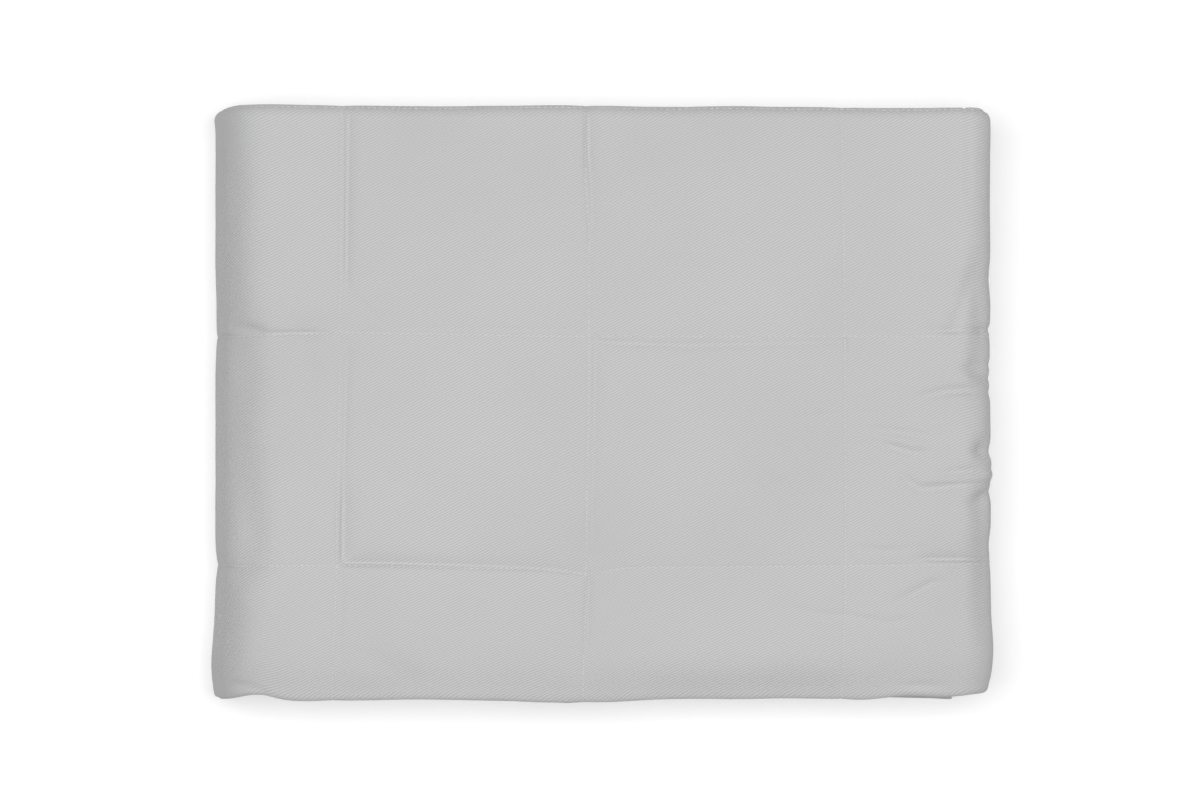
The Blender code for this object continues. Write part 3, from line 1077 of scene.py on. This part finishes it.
def make_stitches():
    """Every stitch that shows, each a short thread that dips into the cloth at both ends."""
    ring = [2 * math.pi * i / THREAD_SIDES for i in range(THREAD_SIDES)]
    shares = [i / (THREAD_RINGS - 1) for i in range(THREAD_RINGS)]
    u, v, out, faces = [], [], [], []
    for across, seam, start, end in stitch_rows():
        count = int((end - start) / STITCH_PITCH)
        for index in range(count):
            first = len(u)
            middle = start + (index + 0.5) * STITCH_PITCH
            for share in shares:
                bow = math.sin(math.pi * share)
                radius = THREAD / 2 * (THREAD_END + (1 - THREAD_END) * bow)
                along = middle + (share - 0.5) * STITCH_LENGTH
                for turn in ring:
                    aside = seam + radius * math.cos(turn)
                    u.append(aside if across else along)
                    v.append(along if across else aside)
                    lift = THREAD * (THREAD_BOW * bow - THREAD_SINK)
                    out.append(lift + radius * math.sin(turn))
            for step in range(THREAD_RINGS - 1):
                for side in range(THREAD_SIDES):
                    a = first + step * THREAD_SIDES + side
                    b = first + step * THREAD_SIDES + (side + 1) % THREAD_SIDES
                    faces.append((a, b, b + THREAD_SIDES, a + THREAD_SIDES))
            last = first + (THREAD_RINGS - 1) * THREAD_SIDES
            faces.append(tuple(range(first + THREAD_SIDES - 1, first - 1, -1)))
            faces.append(tuple(range(last, last + THREAD_SIDES)))
    u, v = np.array(u), np.array(v)
    mesh = bpy.data.meshes.new("stitches")
    mesh.from_pydata(np.zeros((len(u), 3)).tolist(), [], faces)
    set_points(mesh, lay_in_pack(u, v, outer_face(u, v) + np.array(out)))
    bm = bmesh.new()
    bm.from_mesh(mesh)
    bmesh.ops.recalc_face_normals(bm, faces=bm.faces[:])
    bm.to_mesh(mesh)
    bm.free()
    print("stitches:", sum(len(face) - 2 for face in faces), "triangles")
    return linked("stitches", mesh, thread_material())


class Nodes:
    """A material's nodes, made and joined in few words."""

    def __init__(self, name):
        self.material = bpy.data.materials.new(name)
        self.material.use_nodes = True
        self.tree = self.material.node_tree
        self.shader = self.tree.nodes["Principled BSDF"]

    def add(self, kind, **values):
        node = self.tree.nodes.new("ShaderNode" + kind)
        for name, value in values.items():
            setattr(node, name, value)
        return node

    def feed(self, socket, value):
        if isinstance(value, bpy.types.NodeSocket):
            self.tree.links.new(value, socket)
        else:
            socket.default_value = value

    def math(self, operation, *values):
        node = self.add("Math", operation=operation)
        for socket, value in zip(node.inputs, values):
            self.feed(socket, value)
        return node.outputs[0]

    def noise(self, place, scale, detail, roughness=0.5):
        node = self.add("TexNoise")
        self.feed(node.inputs["Vector"], place)
        self.feed(node.inputs["Scale"], scale)
        self.feed(node.inputs["Detail"], detail)
        self.feed(node.inputs["Roughness"], roughness)
        return node.outputs["Fac"]

    def wave(self, place, period):
        """A wave between 0 and 1 with the given period."""
        turned = self.math("MULTIPLY", place, 2 * math.pi / period)
        return self.math("MULTIPLY_ADD", self.math("SINE", turned), 0.5, 0.5)

    def bump(self, height, distance, below=None):
        node = self.add("Bump")
        self.feed(node.inputs["Height"], height)
        node.inputs["Distance"].default_value = distance
        node.inputs["Strength"].default_value = 1.0
        if below is not None:
            self.feed(node.inputs["Normal"], below)
        return node.outputs["Normal"]

    def tone(self, light, dark_tone, light_tone, lightest=1.0):
        """Gives the shader its colour, from the dark tone where the light is 0 to the light
        tone where it is at its lightest."""
        ramp = self.add("ValToRGB")
        dark, pale = ramp.color_ramp.elements
        dark.color = dark_tone
        pale.position = lightest
        pale.color = light_tone
        self.feed(ramp.inputs[0], light)
        self.feed(self.shader.inputs["Base Color"], ramp.outputs["Color"])


def cloth_material():
    """Grey cotton twill: diagonal lines, each a row of short floats, over fine yarns."""
    nodes = Nodes("grey_twill")
    place = nodes.add("UVMap", uv_map="cloth").outputs["UV"]
    split = nodes.add("SeparateXYZ")
    nodes.feed(split.inputs[0], place)
    u, v = split.outputs["X"], split.outputs["Y"]
    tilt = math.radians(TWILL_ANGLE)
    across = nodes.math(
        "ADD",
        nodes.math("MULTIPLY", u, math.sin(tilt)),
        nodes.math("MULTIPLY", v, math.cos(tilt)),
    )
    # The yarns are a little uneven, so the lines waver.
    unevenness = nodes.noise(place, WAVER_SCALE, 2.0)
    waver = nodes.math("MULTIPLY_ADD", unevenness, TWILL_WAVER, -TWILL_WAVER / 2)
    line = nodes.wave(nodes.math("ADD", across, waver), TWILL_PERIOD)
    yarn = nodes.wave(u, YARN_PERIOD)
    floats = nodes.math("MULTIPLY_ADD", yarn, FLOAT_CONTRAST, 1 - FLOAT_CONTRAST)
    weave = nodes.math("MULTIPLY", line, floats)
    patchy = nodes.noise(place, PATCH_SCALE, 2.0)
    fleck = nodes.noise(place, FLECK_SCALE, 3.0, 0.6)
    patches = nodes.math("MULTIPLY_ADD", patchy, PATCH_RANGE, PATCH_LEAST)
    light = nodes.math("MULTIPLY", nodes.math("MULTIPLY", weave, LINE_LIGHT), patches)
    light = nodes.math("MULTIPLY_ADD", fleck, FLECK_LIGHT, light)
    nodes.tone(light, CLOTH_DARK, CLOTH_LIGHT, FULL_LIGHT)
    shader = nodes.shader
    shader.inputs["Roughness"].default_value = 0.92
    shader.inputs["Sheen Weight"].default_value = 0.04
    shader.inputs["Sheen Roughness"].default_value = 0.55
    shader.inputs["Specular IOR Level"].default_value = 0.25
    coarse = nodes.bump(weave, TWILL_DEPTH)
    nodes.feed(shader.inputs["Normal"], nodes.bump(fleck, FLECK_DEPTH, coarse))
    return nodes.material


def thread_material():
    nodes = Nodes("pale_thread")
    place = nodes.add("TexCoord").outputs["Object"]
    twist = nodes.noise(place, TWIST_SCALE, 2.0)
    nodes.tone(twist, THREAD_DARK, THREAD_LIGHT)
    shader = nodes.shader
    shader.inputs["Roughness"].default_value = 0.7
    nodes.feed(shader.inputs["Normal"], nodes.bump(twist, TWIST_DEPTH))
    return nodes.material


def make_floor():
    nodes = Nodes("white_floor")
    nodes.shader.inputs["Base Color"].default_value = FLOOR_TONE
    nodes.shader.inputs["Emission Color"].default_value = WHITE
    nodes.shader.inputs["Emission Strength"].default_value = FLOOR_GLOW
    nodes.shader.inputs["Roughness"].default_value = 0.9
    nodes.shader.inputs["Specular IOR Level"].default_value = 0.0
    mesh = bpy.data.meshes.new("floor")
    bm = bmesh.new()
    bmesh.ops.create_grid(bm, x_segments=1, y_segments=1, size=FLOOR_REACH)
    bm.to_mesh(mesh)
    bm.free()
    floor = linked("floor", mesh, nodes.material)


def add_softbox():
    """One wide soft light overhead, aimed at the pack."""
    light = bpy.data.lights.new("softbox", "AREA")
    light.shape = "RECTANGLE"
    light.size = SOFTBOX_WIDTH
    light.size_y = SOFTBOX_DEPTH
    light.energy = SOFTBOX_POWER
    softbox = bpy.data.objects.new("softbox", light)
    softbox.location = SOFTBOX_PLACE
    softbox.rotation_euler = Vector(SOFTBOX_PLACE).to_track_quat("Z", "Y").to_euler()
    softbox.visible_camera = False
    bpy.context.scene.collection.objects.link(softbox)


def add_world():
    """The light from all around, by the height of the direction that it comes from."""
    world = bpy.data.worlds.new("studio")
    world.use_nodes = True
    nodes = world.node_tree.nodes
    links = world.node_tree.links
    background = nodes["Background"]
    background.inputs["Color"].default_value = WHITE
    direction = nodes.new("ShaderNodeSeparateXYZ")
    links.new(nodes.new("ShaderNodeTexCoord").outputs["Generated"], direction.inputs[0])
    strength = nodes.new("ShaderNodeMapRange")
    strength.interpolation_type = "SMOOTHSTEP"
    strength.inputs["From Min"].default_value = HORIZON_TOP
    strength.inputs["From Max"].default_value = SKY_START
    strength.inputs["To Min"].default_value = HORIZON_LIGHT
    strength.inputs["To Max"].default_value = SKY_LIGHT
    links.new(direction.outputs["Z"], strength.inputs["Value"])
    links.new(strength.outputs["Result"], background.inputs["Strength"])
    bpy.context.scene.world = world


def add_camera():
    """Straight above, with the pack where the picture has it."""
    data = bpy.data.cameras.new("camera")
    data.sensor_width = SENSOR
    data.lens = SENSOR * (CAMERA_HEIGHT - OUTLINE_LEVEL) / (PHOTO_WIDTH * PIXEL)
    camera = bpy.data.objects.new("camera", data)
    x = (PHOTO_WIDTH / 2 - PACK_MIDDLE[0]) * PIXEL
    y = (PACK_MIDDLE[1] - PHOTO_HEIGHT / 2) * PIXEL
    camera.location = (x, y, CAMERA_HEIGHT)
    bpy.context.scene.collection.objects.link(camera)
    bpy.context.scene.camera = camera


def centre_on_node(pieces, node):
    """Moves the pieces together, so that the first is over the middle of the CAD node."""
    low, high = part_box(node)
    points = get_points(pieces[0].data)
    middle = (points.min(axis=0) + points.max(axis=0)) / 2
    for piece in pieces:
        moved = get_points(piece.data)
        moved[:, :2] += np.array((low + high) / 2)[:2] - middle[:2]
        set_points(piece.data, moved)


add_camera()
add_world()
add_softbox()
make_floor()
bpy.context.scene.view_settings.view_transform = "Standard"

blanket = make_blanket()
stitches = make_stitches()
centre_on_node([blanket, stitches], "blanket")
for piece in (blanket, stitches):
    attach(piece, "root")
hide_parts("blanket")
